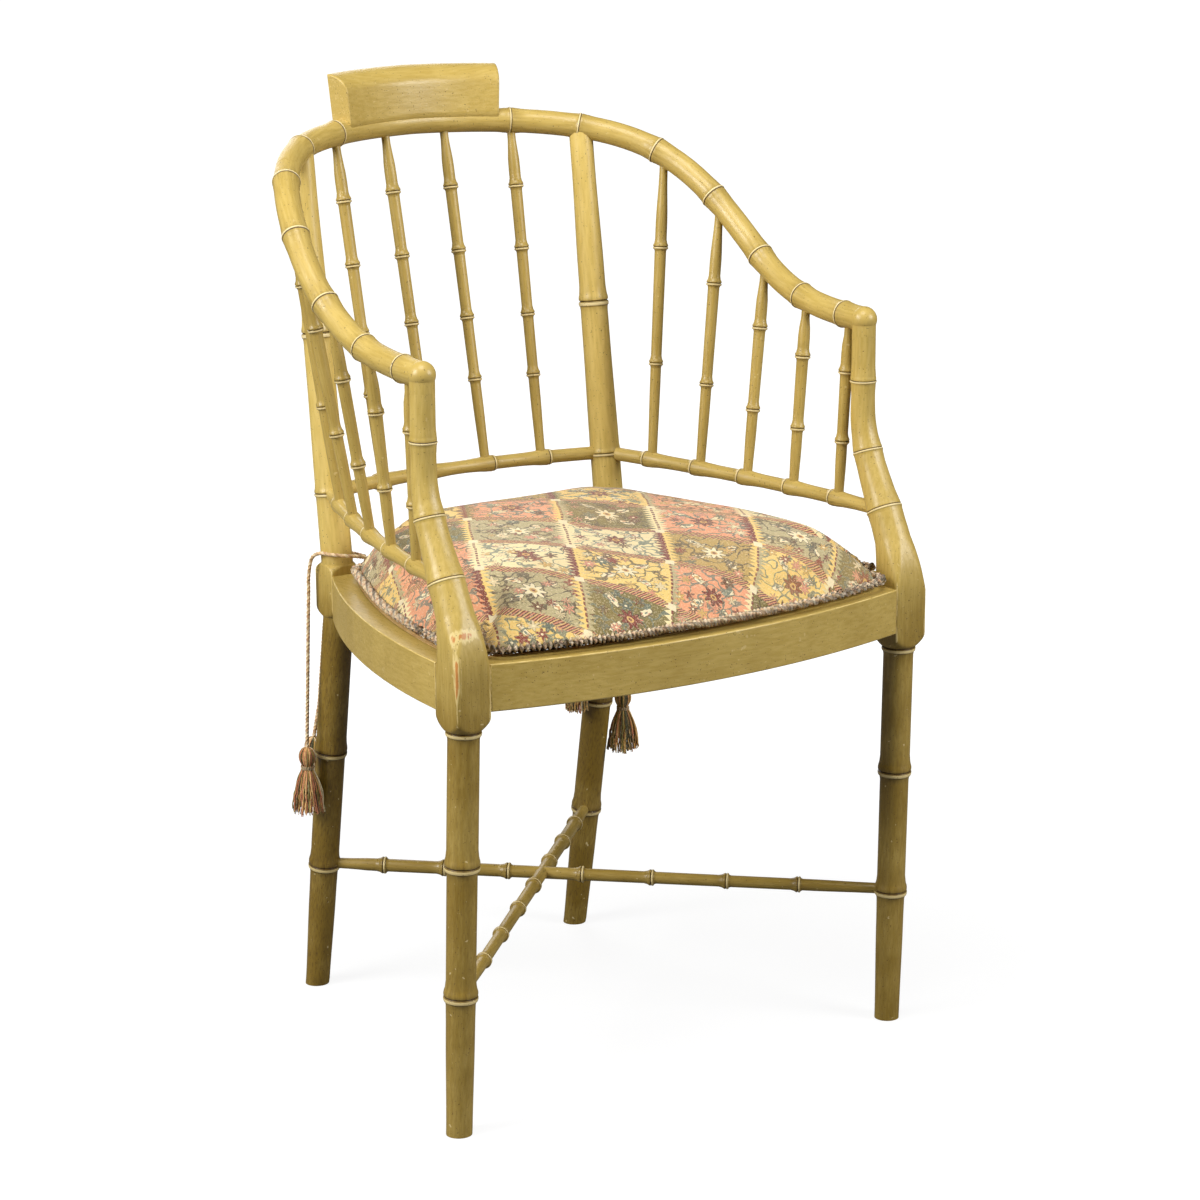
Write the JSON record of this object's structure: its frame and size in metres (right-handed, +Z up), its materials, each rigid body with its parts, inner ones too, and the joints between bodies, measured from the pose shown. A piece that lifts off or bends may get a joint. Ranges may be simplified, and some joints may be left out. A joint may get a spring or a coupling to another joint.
{
  "type": "armchair",
  "caption": "Turned and painted faux bamboo armchair with a hoop back that runs into the arms, a bowed seat frame, crossed stretchers and a tied patterned cushion.",
  "frame": {"origin": "on the floor under the middle of the chair's box, cords left out", "axes": "+X across the chair to the sitter's left, -Y the way the sitter faces, +Z up"},
  "size_m": [0.506, 0.5115, 0.8747],
  "materials": {
    "painted_wood": "satin olive-straw glazed paint",
    "bare_beech": "matte",
    "cane": "satin woven cane",
    "cushion_fabric": "woven patchwork pattern",
    "tie_cord": "twisted multicolour yarn"
  },
  "bodies": {
    "root": {"front_leg_left": "painted_wood", "front_leg_right": "painted_wood", "rear_leg_left": "painted_wood", "rear_leg_right": "painted_wood", "seat_rail_front": "painted_wood", "seat_rail_back": "painted_wood", "seat_rail_left": "painted_wood", "seat_rail_right": "painted_wood", "corner_block_front_left": "bare_beech", "corner_block_front_right": "bare_beech", "corner_block_rear_left": "bare_beech", "corner_block_rear_right": "bare_beech", "cane_seat": "cane", "cane_spline": "cane", "crest_rail": "painted_wood", "crest_plug": "painted_wood", "arm_rail_left": "painted_wood", "arm_rail_right": "painted_wood", "hoop_dowels": "bare_beech", "elbow_dowels": "bare_beech", "stay_rail_back": "painted_wood", "stay_rail_left": "painted_wood", "stay_rail_right": "painted_wood", "back_spindle_1": "painted_wood", "back_spindle_2": "painted_wood", "back_spindle_3": "painted_wood", "back_spindle_4": "painted_wood", "side_spindle_left_1": "painted_wood", "side_spindle_left_2": "painted_wood", "side_spindle_left_3": "painted_wood", "side_spindle_left_4": "painted_wood", "side_spindle_left_5": "painted_wood", "side_spindle_right_1": "painted_wood", "side_spindle_right_2": "painted_wood", "side_spindle_right_3": "painted_wood", "side_spindle_right_4": "painted_wood", "side_spindle_right_5": "painted_wood", "stretcher_left": "painted_wood", "stretcher_right": "painted_wood", "cushion": "cushion_fabric", "tie_left_outer": "tie_cord", "tie_left_inner": "tie_cord", "tie_right_outer": "tie_cord", "tie_right_inner": "tie_cord", "tassel_left_outer": "tie_cord", "tassel_left_inner": "tie_cord", "tassel_right_outer": "tie_cord", "tassel_right_inner": "tie_cord"}
  },
  "joints": []
}
